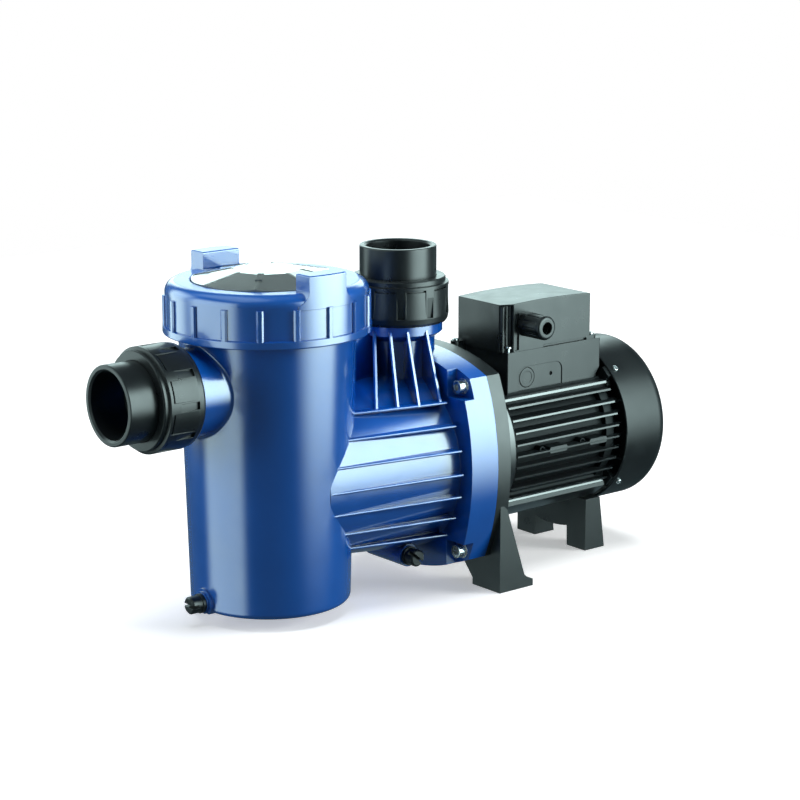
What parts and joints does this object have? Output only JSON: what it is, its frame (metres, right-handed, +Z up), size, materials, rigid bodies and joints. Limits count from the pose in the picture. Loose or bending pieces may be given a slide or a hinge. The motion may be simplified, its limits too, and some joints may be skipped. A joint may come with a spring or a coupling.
{
  "type": "pool pump",
  "caption": "Self-priming pool pump: blue strainer pot with clear lid and ring nut, volute casing, unions on suction and discharge, and a black finned motor with terminal box.",
  "frame": {"origin": "bottom centre of the whole pump's box, on the floor the feet stand on", "axes": "+X along the shaft from the suction mouth to the fan, +Z up, -Y towards the side with the cable gland"},
  "size_m": [0.6284, 0.2182, 0.3388],
  "materials": {
    "blue_plastic": "glossy moulded plastic",
    "black_plastic": "satin moulded plastic",
    "black_paint": "semi-gloss paint",
    "painted_casting": "semi-gloss paint on die-cast aluminium",
    "lid_plastic": "smoky transparent plastic",
    "basket_plastic": "matt moulded plastic",
    "internal_plastic": "glass-filled plastic",
    "rubber": "matt",
    "stainless": "brushed",
    "zinc_screw": "zinc plated",
    "seal_ceramic": "ground ceramic",
    "lamination": "stacked sheet",
    "copper": "enamelled wire",
    "brass": "turned"
  },
  "bodies": {
    "pump": {"strainer_pot": "blue_plastic", "pump_casing": "blue_plastic", "suction_tailpiece": "black_plastic", "suction_oring": "rubber", "discharge_tailpiece": "black_plastic", "discharge_oring": "rubber", "diffuser": "internal_plastic", "wear_ring": "stainless", "seal_seat": "seal_ceramic", "seal_plate": "internal_plastic", "casing_oring": "rubber", "motor_bracket": "painted_casting", "flange_bolts": "zinc_screw", "flange_washers": "zinc_screw", "adapter_screws": "zinc_screw", "front_shield": "painted_casting", "motor_frame": "painted_casting", "rear_shield": "painted_casting", "tie_rods": "zinc_screw", "stator_core": "lamination", "stator_winding": "copper", "front_bearing_outer": "stainless", "rear_bearing_outer": "stainless", "fan_cover": "black_paint", "fan_cover_screws": "zinc_screw", "rear_foot": "black_plastic", "foot_screws": "zinc_screw", "terminal_base": "black_plastic", "terminal_gasket": "rubber", "terminal_cover": "black_plastic", "terminal_cover_screws": "zinc_screw", "terminal_board": "internal_plastic", "terminal_studs": "brass", "capacitor": "basket_plastic", "earth_screw": "brass", "knockout_plug": "black_plastic", "gland_body": "black_plastic", "gland_seal": "rubber", "gland_locknut": "black_plastic"},
    "rotor": {"shaft": "stainless", "impeller": "internal_plastic", "impeller_nut": "stainless", "seal_head": "internal_plastic", "seal_spring": "stainless", "front_bearing_inner": "stainless", "rear_bearing_inner": "stainless", "bearing_balls": "stainless", "rotor_core": "lamination", "fan": "internal_plastic"},
    "lid": {"lid": "lid_plastic", "lid_oring": "rubber"},
    "ring_nut": {"lid_ring": "blue_plastic"},
    "basket": {"strainer_basket": "basket_plastic"},
    "suction_union_nut": {"suction_nut": "black_plastic"},
    "discharge_union_nut": {"discharge_nut": "black_plastic"},
    "pot_drain": {"pot_drain_plug": "black_plastic", "pot_drain_oring": "rubber"},
    "casing_drain": {"casing_drain_plug": "black_plastic", "casing_drain_oring": "rubber"},
    "gland_cap": {"gland_nut": "black_plastic"}
  },
  "joints": [
    {"name": "rotor_spin", "type": "hinge", "parent": "pump", "child": "rotor", "pos_m": [0, 0, 0.1266], "axis": [1, 0, 0], "continuous": true},
    {"name": "lid_lift", "type": "slide", "parent": "pump", "child": "lid", "axis": [0, 0, 1], "range_m": [0, 0.3]},
    {"name": "ring_turn", "type": "hinge", "parent": "lid", "child": "ring_nut", "pos_m": [-0.1367, 0, 0.3], "axis": [0, 0, 1], "continuous": true},
    {"name": "basket_lift", "type": "slide", "parent": "pump", "child": "basket", "axis": [0, 0, 1], "range_m": [0, 0.18]},
    {"name": "suction_nut_turn", "type": "hinge", "parent": "pump", "child": "suction_union_nut", "pos_m": [-0.262, 0, 0.2258], "axis": [1, 0, 0], "continuous": true},
    {"name": "discharge_nut_turn", "type": "hinge", "parent": "pump", "child": "discharge_union_nut", "pos_m": [0.0208, 0, 0.2857], "axis": [0, 0, 1], "continuous": true},
    {"name": "pot_drain_turn", "type": "hinge", "parent": "pump", "child": "pot_drain", "pos_m": [-0.2176, 0, 0.0216], "axis": [1, 0, 0], "continuous": true},
    {"name": "casing_drain_turn", "type": "hinge", "parent": "pump", "child": "casing_drain", "pos_m": [-0.004, -0.047, 0.0384], "axis": [0, 1, 0], "continuous": true},
    {"name": "gland_nut_turn", "type": "hinge", "parent": "pump", "child": "gland_cap", "pos_m": [0.147, -0.07, 0.25], "axis": [0, 1, 0], "continuous": true}
  ],
  "couplings": [
    {"joint": "basket_lift", "follows": "lid_lift", "ratio": 0.6}
  ]
}
